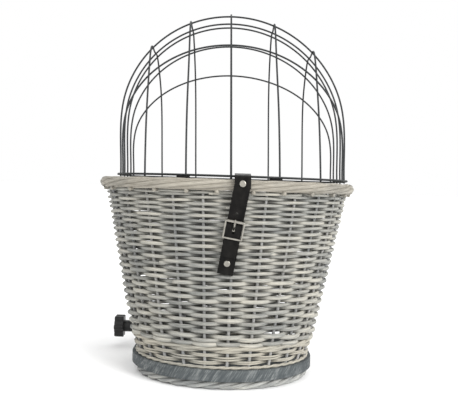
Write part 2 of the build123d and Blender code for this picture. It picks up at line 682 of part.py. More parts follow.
rail_clearance = back_pins(RAIL_BOLTS, BOLT_HOLE, -30, 30)
for side, side_name in ((-1, "left"), (1, "right")):
    x_span = (side * CLAMP_X - RAIL_WIDTH / 2, side * CLAMP_X + RAIL_WIDTH / 2)
    with BuildPart() as mount_rail:
        add(back_slab(x_span, RAIL_RISE, (0, RAIL_THICKNESS), PLATE_CORNER))
        add(rail_clearance.part, mode=Mode.SUBTRACT)
    finish(mount_rail, f"mount_rail_{side_name}")
    with BuildPart() as backing_strip:
        add(back_slab(x_span, BACKING_STRIP_RISE, BACKING_LAYER, PLATE_CORNER))
        add(rail_clearance.part, mode=Mode.SUBTRACT)
    finish(backing_strip, f"backing_strip_{side_name}")

    bar_centre = on_back(side * CLAMP_X, BAR_RISE, BAR_OUT)
    section = Plane(origin=bar_centre - Vector(CLAMP_WIDTH / 2, 0, 0), x_dir=BACK_UP, z_dir=(1, 0, 0))
    reach = BAR_OUT - RAIL_THICKNESS
    lug_span = 2 * (LUG_REACH + CLAMP_END)
    lug_points = [bar_centre + BACK_UP * lug for lug in (-LUG_REACH, LUG_REACH)]
    screw_planes = [Plane(origin=point, z_dir=BACK_OUT) for point in lug_points]
    with BuildPart() as clamp_base:
        with BuildSketch(section):
            Circle(CLAMP_RADIUS)
            Rectangle(lug_span, 2 * LUG_THICKNESS)
            with Locations((0, reach / 2 + 2)):
                Rectangle(CLAMP_BLOCK, reach - 4)
            with Locations(((FLANGE_RISE - BAR_RISE + CLAMP_BLOCK / 2) / 2, reach - CLAMP_PLATE / 2)):
                Rectangle(CLAMP_BLOCK / 2 - (FLANGE_RISE - BAR_RISE) + 2 * FLANGE_HALF, CLAMP_PLATE)
            Circle(BAR_RADIUS, mode=Mode.SUBTRACT)
            with Locations((0, -50 + SPLIT_GAP / 2)):
                Rectangle(200, 100, mode=Mode.SUBTRACT)
        extrude(amount=CLAMP_WIDTH)
        for screw_plane in screw_planes:
            with BuildSketch(screw_plane):
                Circle(CLAMP_SCREW_RADIUS)
            extrude(amount=-12, mode=Mode.SUBTRACT)
        add(rail_clearance.part, mode=Mode.SUBTRACT)
    finish(clamp_base, f"clamp_base_{side_name}")
    with BuildPart() as clamp_cap:
        with BuildSketch(section):
            Circle(CLAMP_RADIUS)
            Rectangle(lug_span, 2 * LUG_THICKNESS)
            Circle(BAR_RADIUS, mode=Mode.SUBTRACT)
            with Locations((0, 50 - SPLIT_GAP / 2)):
                Rectangle(200, 100, mode=Mode.SUBTRACT)
        extrude(amount=CLAMP_WIDTH)
        for screw_plane in screw_planes:
            with BuildSketch(screw_plane):
                Circle(CLAMP_SCREW_RADIUS + BOLT_CLEARANCE)
            extrude(amount=12, mode=Mode.SUBTRACT)
    finish(clamp_cap, f"clamp_cap_{side_name}")

CLAMP_SCREWS = [(side * CLAMP_X, BAR_RISE + lug) for side in (-1, 1) for lug in (-LUG_REACH, LUG_REACH)]
with BuildPart() as clamp_screws:
    screw_span = (BAR_OUT - LUG_THICKNESS - 1.5, BAR_OUT + LUG_THICKNESS)
    add(back_pins(CLAMP_SCREWS, CLAMP_SCREW_RADIUS - 0.03, *screw_span).part)
    add(bolt_heads(CLAMP_SCREWS, BAR_OUT + LUG_THICKNESS, *CLAMP_SCREW_HEAD))
    for x, rise in CLAMP_SCREWS:
        socket = on_back(x, rise, BAR_OUT + LUG_THICKNESS + CLAMP_SCREW_HEAD[1])
        with BuildSketch(Plane(origin=socket, x_dir=(-1, 0, 0), z_dir=BACK_OUT)):
            RegularPolygon(SOCKET_SIZE[0], 6, major_radius=False)
        extrude(amount=-SOCKET_SIZE[1], mode=Mode.SUBTRACT)
finish(clamp_screws, "clamp_screws")

with BuildPart() as rail_bolts:
    for x, rise in RAIL_BOLTS:
        seat = RAIL_THICKNESS + (CLAMP_PLATE if rise == FLANGE_RISE else 0)
        add(back_pins([(x, rise)], BOLT_RADIUS, -WALL_DEEP - BOLT_TAIL, seat).part)
        add(bolt_heads([(x, rise)], seat, *BOLT_HEAD))
finish(rail_bolts, "rail_bolts")
finish(nuts(RAIL_BOLTS, BACKING_LAYER[0], *NUT_SIZE), "rail_nuts")

# ---------------- head tube clamp ----------------
SPINDLE_AXIS = Vector(0, SPINDLE_Y, SPINDLE_Z)
EAR_THICKNESS = 3.0
EARS = (-74.0, -JAW_OUTER_X - 2.1, JAW_OUTER_X + JAW_TRAVEL + 2.6)
BRACKET_X = (-79.0, 42.0)
BACKING_X = (-72.0, 34.0)
spindle_offset = SPINDLE_AXIS - on_back(0, 0, 0)
spindle_rise, spindle_out = spindle_offset.dot(BACK_UP), spindle_offset.dot(BACK_OUT)

bracket_clearance = back_pins(BRACKET_BOLTS, BOLT_HOLE, -30, 30)
with BuildPart() as tube_bracket:
    add(back_slab(BRACKET_X, BRACKET_RISE, (0, EAR_THICKNESS)))
    for ear_x in EARS:
        ear_plane = Plane(origin=on_back(ear_x - EAR_THICKNESS / 2, 0, 0), x_dir=BACK_OUT, z_dir=(1, 0, 0))
        with BuildSketch(ear_plane):
            with BuildLine():
                Polyline(
                    (0, BRACKET_RISE[0]),
                    (0, BRACKET_RISE[1]),
                    (EAR_THICKNESS, BRACKET_RISE[1]),
                    (spindle_out + 4, spindle_rise + EAR_EYE - 1),
                    (spindle_out, spindle_rise - EAR_EYE),
                    (12, BRACKET_RISE[0]),
                    close=True,
                )
            make_face()
            with Locations((spindle_out, spindle_rise)):
                Circle(EAR_EYE)
                Circle(SPINDLE_RADIUS + 0.08, mode=Mode.SUBTRACT)
        extrude(amount=EAR_THICKNESS)
    add(bracket_clearance.part, mode=Mode.SUBTRACT)
finish(tube_bracket, "tube_bracket")

with BuildPart() as bracket_backing:
    add(back_slab(BACKING_X, BRACKET_BACKING_RISE, BACKING_LAYER, PLATE_CORNER))
    add(bracket_clearance.part, mode=Mode.SUBTRACT)
finish(bracket_backing, "bracket_backing")

with BuildPart() as bracket_bolts:
    add(back_pins(BRACKET_BOLTS, BOLT_RADIUS, -WALL_DEEP - BOLT_TAIL, EAR_THICKNESS).part)
    add(bolt_heads(BRACKET_BOLTS, EAR_THICKNESS, *BOLT_HEAD))
finish(bracket_bolts, "bracket_bolts")
finish(nuts(BRACKET_BOLTS, BACKING_LAYER[0], *NUT_SIZE), "bracket_nuts")

TUBE_Y = SPINDLE_Y + TUBE_BEHIND_SPINDLE
JAW_GAP = 1.5  # half the gap between the closed jaws
JAW_SIDE = 8.0  # metal in front of the spindle's axis, and behind the tube's
PAD_HALF = 8.0
JAW_BOTTOM = SPINDLE_Z - JAW_HEIGHT / 2
for side, side_name in ((-1, "fixed"), (1, "moving")):
    with BuildPart() as jaw:
        with BuildSketch(Plane.XY.offset(JAW_BOTTOM)):
            with BuildLine():
                Polyline(
                    (side * JAW_GAP, SPINDLE_Y - JAW_SIDE),
                    (side * JAW_OUTER_X, SPINDLE_Y - JAW_SIDE),
                    (side * JAW_OUTER_X, TUBE_Y + 2),
                    (side * (JAW_OUTER_X - 5), TUBE_Y + JAW_SIDE),
                    (side * JAW_GAP, TUBE_Y + JAW_SIDE),
                    close=True,
                )
            make_face()
            with Locations((0, TUBE_Y)):
                Circle(TUBE_RADIUS + PAD_THICKNESS, mode=Mode.SUBTRACT)
        extrude(amount=JAW_HEIGHT)
        outer_edges = jaw.edges().filter_by(Axis.Z).filter_by(lambda e: abs(e.center().X) > JAW_OUTER_X - 6)
        fillet(outer_edges, 2.0)
        with BuildSketch(Plane(origin=SPINDLE_AXIS, z_dir=(side, 0, 0))):
            Circle(SPINDLE_RADIUS + 0.06)
        extrude(amount=JAW_OUTER_X + 5, mode=Mode.SUBTRACT)
    finish(jaw, f"{side_name}_jaw")
    with BuildPart() as jaw_pad:
        with BuildSketch(Plane.XY.offset(JAW_BOTTOM)):
            with Locations((0, TUBE_Y)):
                Circle(TUBE_RADIUS + PAD_THICKNESS)
                Circle(TUBE_RADIUS, mode=Mode.SUBTRACT)
            with Locations((side * (JAW_GAP + 20), TUBE_Y)):
                Rectangle(40, 2 * PAD_HALF, mode=Mode.INTERSECT)
        extrude(amount=JAW_HEIGHT)
    finish(jaw_pad, f"{side_name}_jaw_pad")

KNOB_FACE = -165.5
KNOB_HEAD = 14.1
COLLAR_RADIUS = 8.75
COLLAR_LENGTH = 22.0
KNOB_LOBES = 6
LOBE_RADIUS = 4.5
LOBE_CIRCLE = 13.0
KNOB_CORE = 14.6
SPINDLE_SEAT = 4.0  # how far the spindle stands inside the knob's head
SHOULDER = (7.0, 2.4)  # radius and width of the spindle's collar beside the outer ear
with BuildPart() as knob:
    with BuildSketch(Plane(origin=(KNOB_FACE, SPINDLE_Y, SPINDLE_Z), x_dir=(0, 1, 0), z_dir=(1, 0, 0))):
        Circle(KNOB_CORE)
        with PolarLocations(LOBE_CIRCLE, KNOB_LOBES):
            Circle(LOBE_RADIUS)
    extrude(amount=KNOB_HEAD)
    fillet(knob.edges().group_by(Axis.X)[0], 2.0)
    fillet(knob.edges().group_by(Axis.X)[-1], 0.8)
    collar_start = KNOB_FACE + KNOB_HEAD
    with BuildSketch(Plane(origin=(collar_start, SPINDLE_Y, SPINDLE_Z), z_dir=(1, 0, 0))):
        Circle(COLLAR_RADIUS)
    extrude(amount=COLLAR_LENGTH)
    chamfer(knob.edges().group_by(Axis.X)[-1], 0.8)
    with BuildSketch(Plane(origin=(collar_start - SPINDLE_SEAT, SPINDLE_Y, SPINDLE_Z), z_dir=(1, 0, 0))):
        Circle(SPINDLE_RADIUS)
    extrude(amount=COLLAR_LENGTH + 10, mode=Mode.SUBTRACT)
finish(knob, "knob")

SPINDLE_END = EARS[2] + 7
with BuildPart() as spindle:
    with BuildSketch(Plane(origin=(collar_start - SPINDLE_SEAT, SPINDLE_Y, SPINDLE_Z), z_dir=(1, 0, 0))):
        Circle(SPINDLE_RADIUS)
    extrude(amount=SPINDLE_END - (collar_start - SPINDLE_SEAT))
    chamfer(spindle.edges().group_by(Axis.X)[-1], 0.6)
    shoulder_x = EARS[0] - EAR_THICKNESS / 2 - SHOULDER[1] - 0.3
    with BuildSketch(Plane(origin=(shoulder_x, SPINDLE_Y, SPINDLE_Z), z_dir=(1, 0, 0))):
        Circle(SHOULDER[0])
    extrude(amount=SHOULDER[1])
finish(spindle, "spindle")
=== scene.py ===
import json
import math

import bpy
import numpy as np
from mathutils import Matrix, Vector


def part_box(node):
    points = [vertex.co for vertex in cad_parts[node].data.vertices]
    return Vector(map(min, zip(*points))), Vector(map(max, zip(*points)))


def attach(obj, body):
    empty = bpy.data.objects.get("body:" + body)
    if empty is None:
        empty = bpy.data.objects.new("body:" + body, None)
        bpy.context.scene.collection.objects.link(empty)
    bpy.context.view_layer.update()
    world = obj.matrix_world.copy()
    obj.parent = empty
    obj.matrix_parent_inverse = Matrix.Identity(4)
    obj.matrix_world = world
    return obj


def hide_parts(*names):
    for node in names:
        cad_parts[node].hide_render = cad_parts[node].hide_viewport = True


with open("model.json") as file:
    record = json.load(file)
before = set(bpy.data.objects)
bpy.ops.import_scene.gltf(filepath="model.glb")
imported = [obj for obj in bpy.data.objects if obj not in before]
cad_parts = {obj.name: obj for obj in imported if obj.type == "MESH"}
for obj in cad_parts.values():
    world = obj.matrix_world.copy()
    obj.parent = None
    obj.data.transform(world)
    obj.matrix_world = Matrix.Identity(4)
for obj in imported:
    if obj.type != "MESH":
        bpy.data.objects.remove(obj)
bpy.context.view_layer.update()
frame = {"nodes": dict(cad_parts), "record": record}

RNG = np.random.default_rng(7)

# ---------------- lengths in metres, read off the frame ----------------
MM = 0.001
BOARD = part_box("base_board")
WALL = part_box("wall_weave")
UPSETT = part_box("upsett_weave")
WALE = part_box("wale_band")
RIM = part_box("rim_border")
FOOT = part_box("foot_border")
STAKE_COUNT = 27
STAKE_TURN = 0.27  # the first stake's place from the front's middle, in gaps between stakes
WALL_THICKNESS = 9.0 * MM
NOSE_SHARE = 0.5  # the rounded front, as a share of the depth
CORNER_SHARE = 0.16  # the back corners' radius, as a share of the depth
CURVE_SAMPLES = 4096
NOSE_POINTS = 400
CORNER_POINTS = 100
SAME_POINT = 1e-7
NORMAL_REACH = 4  # curve samples on each side that a normal is taken from


# ---------------- the basket's D-shaped plan ----------------
def d_curve(half_width, front, back):
    """Points evenly spaced along a D-shaped loop that starts at the front's middle."""
    shoulder = front + NOSE_SHARE * (back - front)
    corner = CORNER_SHARE * (back - front)
    inner = half_width - corner
    nose = np.linspace(-math.pi / 2, 0, NOSE_POINTS)
    turn = np.linspace(0, math.pi / 2, CORNER_POINTS)
    front_arc = np.column_stack((half_width * np.cos(nose), shoulder + (shoulder - front) * np.sin(nose)))
    back_arc = np.column_stack((inner + corner * np.cos(turn), back - corner + corner * np.sin(turn)))
    right = np.vstack((front_arc, back_arc))
    left = right[::-1] * (-1, 1)
    loop = np.vstack((right, left))
    loop = loop[np.append(True, np.linalg.norm(np.diff(loop, axis=0), axis=1) > SAME_POINT)]
    length = np.append(0, np.cumsum(np.linalg.norm(np.diff(loop, axis=0), axis=1)))
    even = np.linspace(0, length[-1], CURVE_SAMPLES + 1)
    return np.column_stack([np.interp(even, length, loop[:, k]) for k in (0, 1)])


def wall_size(z, inset=0.0):
    """Half-width, front and back of the wall's outer face at height z."""
    low, high = UPSETT[1], WALL[1]
    share = (z - low[2]) / (high[2] - low[2])
    half_width = low[0] + share * (high[0] - low[0])
    front = UPSETT[0][1] + share * (WALL[0][1] - UPSETT[0][1])
    back = low[1] + share * (high[1] - low[1])
    return half_width - inset, front + inset, back - inset


LOW_Z = BOARD[0][2]
HIGH_Z = WALL[1][2]
LOW_CURVE = d_curve(*wall_size(LOW_Z, WALL_THICKNESS / 2))
HIGH_CURVE = d_curve(*wall_size(HIGH_Z, WALL_THICKNESS / 2))
GRID = np.linspace(0, 1, CURVE_SAMPLES + 1)


def on_curve(curve, u):
    """Points at share u of the way round a loop."""
    share = np.mod(u, 1.0)
    return np.column_stack([np.interp(share, GRID, curve[:, k]) for k in (0, 1)])


def outward(curve, u):
    """Unit normals in plan, pointing out of the loop."""
    reach = NORMAL_REACH / CURVE_SAMPLES
    along = on_curve(curve, u + reach) - on_curve(curve, u - reach)
    normal = np.column_stack((along[:, 1], -along[:, 0]))
    return normal / np.linalg.norm(normal, axis=1)[:, None]


def on_wall(u, z, out):
    """Points at loop share u and height z, out from the wall's middle line."""
    u, z, out = np.broadcast_arrays(np.asarray(u, float), z, out)
    share = ((z - LOW_Z) / (HIGH_Z - LOW_Z))[:, None]
    plan = on_curve(LOW_CURVE, u) * (1 - share) + on_curve(HIGH_CURVE, u) * share
    plan = plan + outward(HIGH_CURVE, u) * out[:, None]
    return np.column_stack((plan, z))


# ---------------- meshes made of many rods ----------------
STEEP = 0.8  # a rod whose direction has more than this upwards is guided by Y, not by Z
GRAIN_ROUND = 2.0
GRAIN_ALONG = 40  # per metre
GRAIN_SHIFT = 50
ANY_PHASE = 6.28


class Rods:
    """Collects tubes, then makes one mesh of them with a tone and a grain for each rod."""

    def __init__(self):
        self.verts, self.faces, self.tones, self.grains, self.shades = [], [], [], [], []
        self.count = 0

    def tube(self, points, radius, sides=9, closed=False, tone=None, squash=1.0, shade=1.0):
        """One rod along the points. Without a tone it draws one, and squash flattens it sideways."""
        points = np.asarray(points, float)
        total = len(points)
        radius = np.broadcast_to(np.asarray(radius, float), (total,)).copy()
        if closed:
            tangent = np.roll(points, -1, axis=0) - np.roll(points, 1, axis=0)
        else:
            tangent = np.gradient(points, axis=0)
        tangent /= np.linalg.norm(tangent, axis=1)[:, None]
        guide = (0.0, 1.0, 0.0) if abs(tangent[0, 2]) > STEEP else (0.0, 0.0, 1.0)
        side = np.cross(tangent, guide)
        side /= np.linalg.norm(side, axis=1)[:, None]
        up = np.cross(side, tangent)
        angle = np.linspace(0, 2 * math.pi, sides, endpoint=False)
        across = side[:, None, :] * np.cos(angle)[None, :, None] * squash
        ring = across + up[:, None, :] * np.sin(angle)[None, :, None]
        verts = points[:, None, :] + ring * radius[:, None, None]
        length = np.append(0, np.cumsum(np.linalg.norm(np.diff(points, axis=0), axis=1)))
        tone = RNG.random() if tone is None else tone
        shift = RNG.random() * GRAIN_SHIFT
        grain = np.empty((total, sides, 3))
        grain[:, :, 0] = np.cos(angle)[None, :] * GRAIN_ROUND
        grain[:, :, 1] = np.sin(angle)[None, :] * GRAIN_ROUND
        grain[:, :, 2] = (length * GRAIN_ALONG + shift)[:, None]
        base = self.count
        self.verts.append(verts.reshape(-1, 3))
        self.grains.append(grain.reshape(-1, 3))
        self.tones.append(np.full(total * sides, tone))
        shade = np.broadcast_to(np.asarray(shade, float), (total,))
        self.shades.append(np.repeat(shade, sides))
        rows = total if closed else total - 1
        row = np.arange(rows)[:, None] * sides
        column = np.arange(sides)[None, :]
        a, b = row + column, row + (column + 1) % sides
        c, d = b + sides, a + sides
        if closed:
            c, d = c % (total * sides), d % (total * sides)
        quads = np.stack((a, d, c, b), axis=-1).reshape(-1, 4) + base
        self.faces.extend(map(tuple, quads.tolist()))
        if not closed:
            self.faces.append(tuple(range(base, base + sides)))
            last = base + (total - 1) * sides
            self.faces.append(tuple(range(last + sides - 1, last - 1, -1)))
        self.count += total * sides

    def make(self, name):
        """One object of all the rods, with their tone, painted shade and grain on its points."""
        mesh = bpy.data.meshes.new(name)
        verts = np.vstack(self.verts)
        mesh.from_pydata(verts.tolist(), [], self.faces)
        for label, values in (("tone", self.tones), ("shade", self.shades)):
            layer = mesh.attributes.new(label, "FLOAT", "POINT")
            layer.data.foreach_set("value", np.concatenate(values).astype(np.float32))
        layer = mesh.attributes.new("grain", "FLOAT_VECTOR", "POINT")
        layer.data.foreach_set("vector", np.vstack(self.grains).astype(np.float32).ravel())
        mesh.shade_smooth()
        mesh.update()
        piece = bpy.data.objects.new(name, mesh)
        bpy.context.collection.objects.link(piece)
        return piece


def wander(count, scale, waves=5):
    """A smooth random wobble of about the given size, which ends as it starts."""
    t = np.linspace(0, 2 * math.pi, count)
    total = np.zeros(count)
    for k in range(1, waves + 1):
        total += RNG.normal() * np.sin(k * t + RNG.random() * ANY_PHASE) / k
    return total * scale


# ---------------- materials ----------------
WHITE = (1.0, 1.0, 1.0)
# colours of the painted shade, from deepest shade to half shade
DEEP_SHADE, SHADED = (0.30, 0.30, 0.305), (0.75, 0.75, 0.75)
BLOTCH = (0.80, 0.82, 0.85)
MIX_FACTOR, MIX_A, MIX_B, MIX_RESULT = 0, 6, 7, 2  # the colour sockets of a Mix node
WILLOW_ROUGH = (0.60, 0.82)
METAL_MOTTLE = 0.06


def new_material(name):
    material = bpy.data.materials.new(name)
    material.use_nodes = True
    nodes, links = material.node_tree.nodes, material.node_tree.links
    return material, nodes, links, nodes["Principled BSDF"]


def grey(value):
    return (value, value, value)


def ramp(nodes, links, factor, stops):
    """The colour that the (position, colour) stops give to the factor."""
    node = nodes.new("ShaderNodeValToRGB")
    elements = node.color_ramp.elements
    while len(elements) < len(stops):
        elements.new(0.5)
    for element, (position, color) in zip(elements, stops):
        element.position = position
        element.color = (*color, 1)
    links.new(factor, node.inputs["Fac"])
    return node.outputs["Color"]


def noise(nodes, links, vector, scale, detail=4.0, stretch=None):
    """Noise from 0 to 1 over the vector, which may be stretched first."""
    if stretch:
        mapping = nodes.new("ShaderNodeMapping")
        mapping.inputs["Scale"].default_value = stretch
        links.new(vector, mapping.inputs["Vector"])
        vector = mapping.outputs["Vector"]
    node = nodes.new("ShaderNodeTexNoise")
    node.inputs["Scale"].default_value = scale
    node.inputs["Detail"].default_value = detail
    links.new(vector, node.inputs["Vector"])
    return node.outputs["Fac"]


def weighted_sum(nodes, links, terms, offset=0.0):
    """The sum of the sockets, each times its weight, and the offset."""
    total = None
    for socket, weight in terms:
        node = nodes.new("ShaderNodeMath")
        node.operation = "MULTIPLY_ADD"
        links.new(socket, node.inputs[0])
        node.inputs[1].default_value = weight
        if total is None:
            node.inputs[2].default_value = offset
        else:
            links.new(total, node.inputs[2])
        total = node.outputs[0]
    return total


def multiply_colors(nodes, links, a, b):
    node = nodes.new("ShaderNodeMix")
    node.data_type = "RGBA"
    node.blend_type = "MULTIPLY"
    node.inputs[MIX_FACTOR].default_value = 1.0
    links.new(a, node.inputs[MIX_A])
    links.new(b, node.inputs[MIX_B])
    return node.outputs[MIX_RESULT]


def attribute(nodes, name):
    node = nodes.new("ShaderNodeAttribute")
    node.attribute_name = name
    return node


def bump(nodes, links, shader, height, strength, distance):
    node = nodes.new("ShaderNodeBump")
    node.inputs["Strength"].default_value = strength
    node.inputs["Distance"].default_value = distance
    links.new(height, node.inputs["Height"])
    links.new(node.outputs["Normal"], shader.inputs["Normal"])


def willow(name, dark, middle, pale):
    """Grey-washed peeled willow: a tone for each rod, long fibres, blotches of wash, and painted shade that
    darkens the rods by their shade attribute.
    """
    material, nodes, links, shader = new_material(name)
    grain = attribute(nodes, "grain").outputs["Vector"]
    place = nodes.new("ShaderNodeTexCoord")
    fibres = noise(nodes, links, grain, 3.0, 6.0, (3.0, 3.0, 0.9))
    streaks = noise(nodes, links, grain, 1.6, 4.0, (1.0, 1.0, 0.9))
    wash = noise(nodes, links, place.outputs["Object"], 16.0)
    tone = attribute(nodes, "tone").outputs["Fac"]
    blend = weighted_sum(nodes, links, ((tone, 0.20), (streaks, 0.75), (fibres, 0.65)), -0.30)
    wood = ramp(nodes, links, blend, ((0.26, dark), (0.50, middle), (0.76, pale)))
    blotches = ramp(nodes, links, wash, ((0.40, BLOTCH), (0.62, WHITE)))
    shade = attribute(nodes, "shade").outputs["Fac"]
    # painted shade: the shade attribute darkens the rods where they pass behind stakes and lie under the
    # border
    painted_shade = ramp(nodes, links, shade, ((0.0, DEEP_SHADE), (0.5, SHADED), (0.9, WHITE)))
    color = multiply_colors(nodes, links, wood, blotches)
    color = multiply_colors(nodes, links, color, painted_shade)
    links.new(color, shader.inputs["Base Color"])
    low, high = WILLOW_ROUGH
    roughness = ramp(nodes, links, fibres, ((0.3, grey(low)), (0.7, grey(high))))
    links.new(roughness, shader.inputs["Roughness"])
    shader.inputs["Specular IOR Level"].default_value = 0.35
    bump(nodes, links, shader, fibres, 0.8, 0.8 * MM)
    return material


def plywood():
    """Blue-grey wash on the board, with slanting saw marks and plies on its edge."""
    material, nodes, links, shader = new_material("washed_plywood")
    place = nodes.new("ShaderNodeTexCoord")
    slant = nodes.new("ShaderNodeMapping")
    slant.inputs["Rotation"].default_value = (0.0, math.radians(-32), 0.0)
    links.new(place.outputs["Object"], slant.inputs["Vector"])
    fine = noise(nodes, links, slant.outputs["Vector"], 90.0, 7.0, (9.0, 3.0, 0.7))
    marks = noise(nodes, links, slant.outputs["Vector"], 22.0, 5.0, (7.0, 2.0, 1.0))
    plies = noise(nodes, links, place.outputs["Object"], 2.0, 3.0, (5.0, 5.0, 200.0))
    blend = weighted_sum(nodes, links, ((fine, 0.55), (marks, 0.42), (plies, 0.12)))
    dark, middle, pale = (0.024, 0.031, 0.035), (0.064, 0.073, 0.076), (0.18, 0.19, 0.187)
    color = ramp(nodes, links, blend, ((0.38, dark), (0.56, middle), (0.70, pale)))
    links.new(color, shader.inputs["Base Color"])
    shader.inputs["Roughness"].default_value = 0.8
    bump(nodes, links, shader, blend, 0.45, 0.8 * MM)
    return material


def leather():
    """Black strap leather with fine cells and soft creases."""
    material, nodes, links, shader = new_material("black_leather")
    place = nodes.new("ShaderNodeTexCoord")
    cells = nodes.new("ShaderNodeTexVoronoi")
    cells.inputs["Scale"].default_value = 900.0
    links.new(place.outputs["Object"], cells.inputs["Vector"])
    creases = noise(nodes, links, place.outputs["Object"], 120.0, 6.0, (1.0, 1.0, 0.5))
    height = weighted_sum(nodes, links, ((cells.outputs["Distance"], 0.5), (creases, 1.0)))
    deep, worn = (0.004, 0.0038, 0.0036), (0.012, 0.011, 0.010)
    color = ramp(nodes, links, creases, ((0.35, deep), (0.75, worn)))
    links.new(color, shader.inputs["Base Color"])
    roughness = ramp(nodes, links, creases, ((0.3, grey(0.30)), (0.75, grey(0.52))))
    links.new(roughness, shader.inputs["Roughness"])
    shader.inputs["Specular IOR Level"].default_value = 0.08
    bump(nodes, links, shader, height, 0.35, 0.4 * MM)
    return material


def metal(name, color, rough, metallic=1.0, peel_strength=0.12, shine=0.5):
    """A metal or coated metal whose finish varies a little over its surface."""
    material, nodes, links, shader = new_material(name)
    place = nodes.new("ShaderNodeTexCoord")
    smears = noise(nodes, links, place.outputs["Object"], 90.0, 5.0)
    light = tuple(c * (1 + METAL_MOTTLE * 2) for c in color)
    deep = tuple(c * (1 - METAL_MOTTLE * 3) for c in color)
    color = ramp(nodes, links, smears, ((0.3, deep), (0.7, light)))
    links.new(color, shader.inputs["Base Color"])
    roughness = ramp(nodes, links, smears, ((0.3, grey(rough * 0.8)), (0.7, grey(rough * 1.3))))
    links.new(roughness, shader.inputs["Roughness"])
    shader.inputs["Metallic"].default_value = metallic
    shader.inputs["Specular IOR Level"].default_value = shine
    peel = noise(nodes, links, place.outputs["Object"], 1400.0, 2.0)
    bump(nodes, links, shader, peel, peel_strength, 0.1 * MM)
    return material


def moulded(name, color, rough, scale):
    """Moulded plastic or rubber with a pebbled skin."""
    material, nodes, links, shader = new_material(name)
    place = nodes.new("ShaderNodeTexCoord")
    pebble = noise(nodes, links, place.outputs["Object"], scale, 3.0)
    deep, light = tuple(c * 0.7 for c in color), tuple(c * 1.4 for c in color)
    color = ramp(nodes, links, pebble, ((0.3, deep), (0.7, light)))
    links.new(color, shader.inputs["Base Color"])
    shader.inputs["Roughness"].default_value = rough
    shader.inputs["Specular IOR Level"].default_value = 0.35
    bump(nodes, links, shader, pebble, 0.3, 0.2 * MM)
    return material


WILLOW_WALL = willow("willow_wall", (0.140, 0.141, 0.133), (0.335, 0.330, 0.298), (0.57, 0.535, 0.45))
WILLOW_TOP = willow("willow_border", (0.12, 0.103, 0.080), (0.31, 0.285, 0.238), (0.46, 0.43, 0.365))
WILLOW_PALE = willow("willow_pale", (0.22, 0.208, 0.172), (0.40, 0.375, 0.313), (0.56, 0.525, 0.44))
WILLOW_STAKE = willow("willow_stake", (0.25, 0.25, 0.24), (0.42, 0.415, 0.40), (0.60, 0.58, 0.54))
WILLOW_FOOT = willow("willow_foot", (0.20, 0.205, 0.20), (0.42, 0.42, 0.395), (0.62, 0.605, 0.54))
PLYWOOD = plywood()
LEATHER = leather()
NICKEL = metal("nickel", (0.33, 0.315, 0.28), 0.26)
WIRE = metal("wire_coat", (0.016, 0.018, 0.019), 0.50, metallic=0.0, peel_strength=0.02, shine=0.35)
STEEL = metal("black_steel", (0.018, 0.018, 0.019), 0.48, metallic=0.0, shine=0.4)
CAST = metal("black_cast", (0.035, 0.035, 0.037), 0.5, metallic=0.7)
ZINC = metal("zinc", (0.55, 0.56, 0.57), 0.33)
KNOB = moulded("knob_plastic", (0.008, 0.008, 0.008), 0.40, 800.0)
RUBBER = moulded("pad_rubber", (0.020, 0.020, 0.020), 0.8, 500.0)

SLOT_MATERIALS = {
    "plywood": PLYWOOD,
    "leather": LEATHER,
    "nickel": NICKEL,
    "wire": WIRE,
    "knob_plastic": KNOB,
    "rubber_pad": RUBBER,
    "clamp_metal": CAST,
    "black_steel": STEEL,
    "zinc": ZINC,
}


def dress(piece, material):
    piece.data.materials.clear()
    piece.data.materials.append(material)


for subpart in frame["record"]["subparts"]:
    if subpart["material_slot"] in SLOT_MATERIALS:
        for slot in frame["nodes"][subpart["node"]].material_slots:
            slot.material = SLOT_MATERIALS[subpart["material_slot"]]

# ---------------- stakes ----------------
STAKE_SHARES = (np.arange(STAKE_COUNT) + STAKE_TURN) / STAKE_COUNT
STAKE_POINTS = 40
STAKE_RADII = (2.0, 1.65)  # mm, at the foot and at the top


def make_stakes():
    rods = Rods()
    heights = np.linspace(LOW_Z + 0.5 * MM, HIGH_Z + 3 * MM, STAKE_POINTS)
    radius = np.linspace(*STAKE_RADII, STAKE_POINTS) * MM
    for share in STAKE_SHARES:
        lean = wander(STAKE_POINTS, 0.35 * MM)
        # painted shade: the stakes stand inside the weave, so shade=0.55 darkens them all as if shaded
        rods.tube(on_wall(np.full(STAKE_POINTS, share), heights, lean), radius, 10, shade=0.55)
    piece = rods.make("stake_rods")
    dress(piece, WILLOW_STAKE)
    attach(piece, "basket")
    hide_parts("stakes")


# ---------------- woven bands ----------------
STEPS = 9  # points along a rod from one stake to the next
LOOP_POINTS = STAKE_COUNT * STEPS
WAVES = 15  # waves in the wobble of a rod

WALL_PITCH_LOW, WALL_PITCH_HIGH = 5.1 * MM, 3.35 * MM
WALL_ROD_TURNS = 0.83
WALL_ROD_OVERLAP = 0.012  # turns
WALL_EXTRA_TURNS = (1.5, 1.0)  # under and over the rows that fill the height
WALL_FIRST_ROW = 2.4 * MM
WALL_LOWEST_ROW = 0.9 * MM
WALL_END_ROOM = 4.2 * MM
WALL_TAPER = (1.10, 0.88)  # from a rod's butt to its tip
WALL_FILL = 0.53  # a rod's radius, as a share of the pitch
WALL_SWING = 1.85 * MM

UPSETT_ROWS = 4
UPSETT_START, UPSETT_TURNS = 0.5, 2
UPSETT_FIRST_ROW = 3.4 * MM
UPSETT_DROP = 0.08  # rows
UPSETT_RADIUS = 1.16 * MM
UPSETT_PAIR_GAP = 1.08 * MM
UPSETT_SWING = 3.0 * MM
FIRST_ROW_RADIUS = 1.45 * MM

WALE_RODS = 3
WALE_RADIUS = 1.75 * MM


def weave_swing(u):
    """1 in front of a stake and -1 behind the next, at share u of the loop."""
    return np.cos(math.pi * (STAKE_COUNT * u - STAKE_TURN))


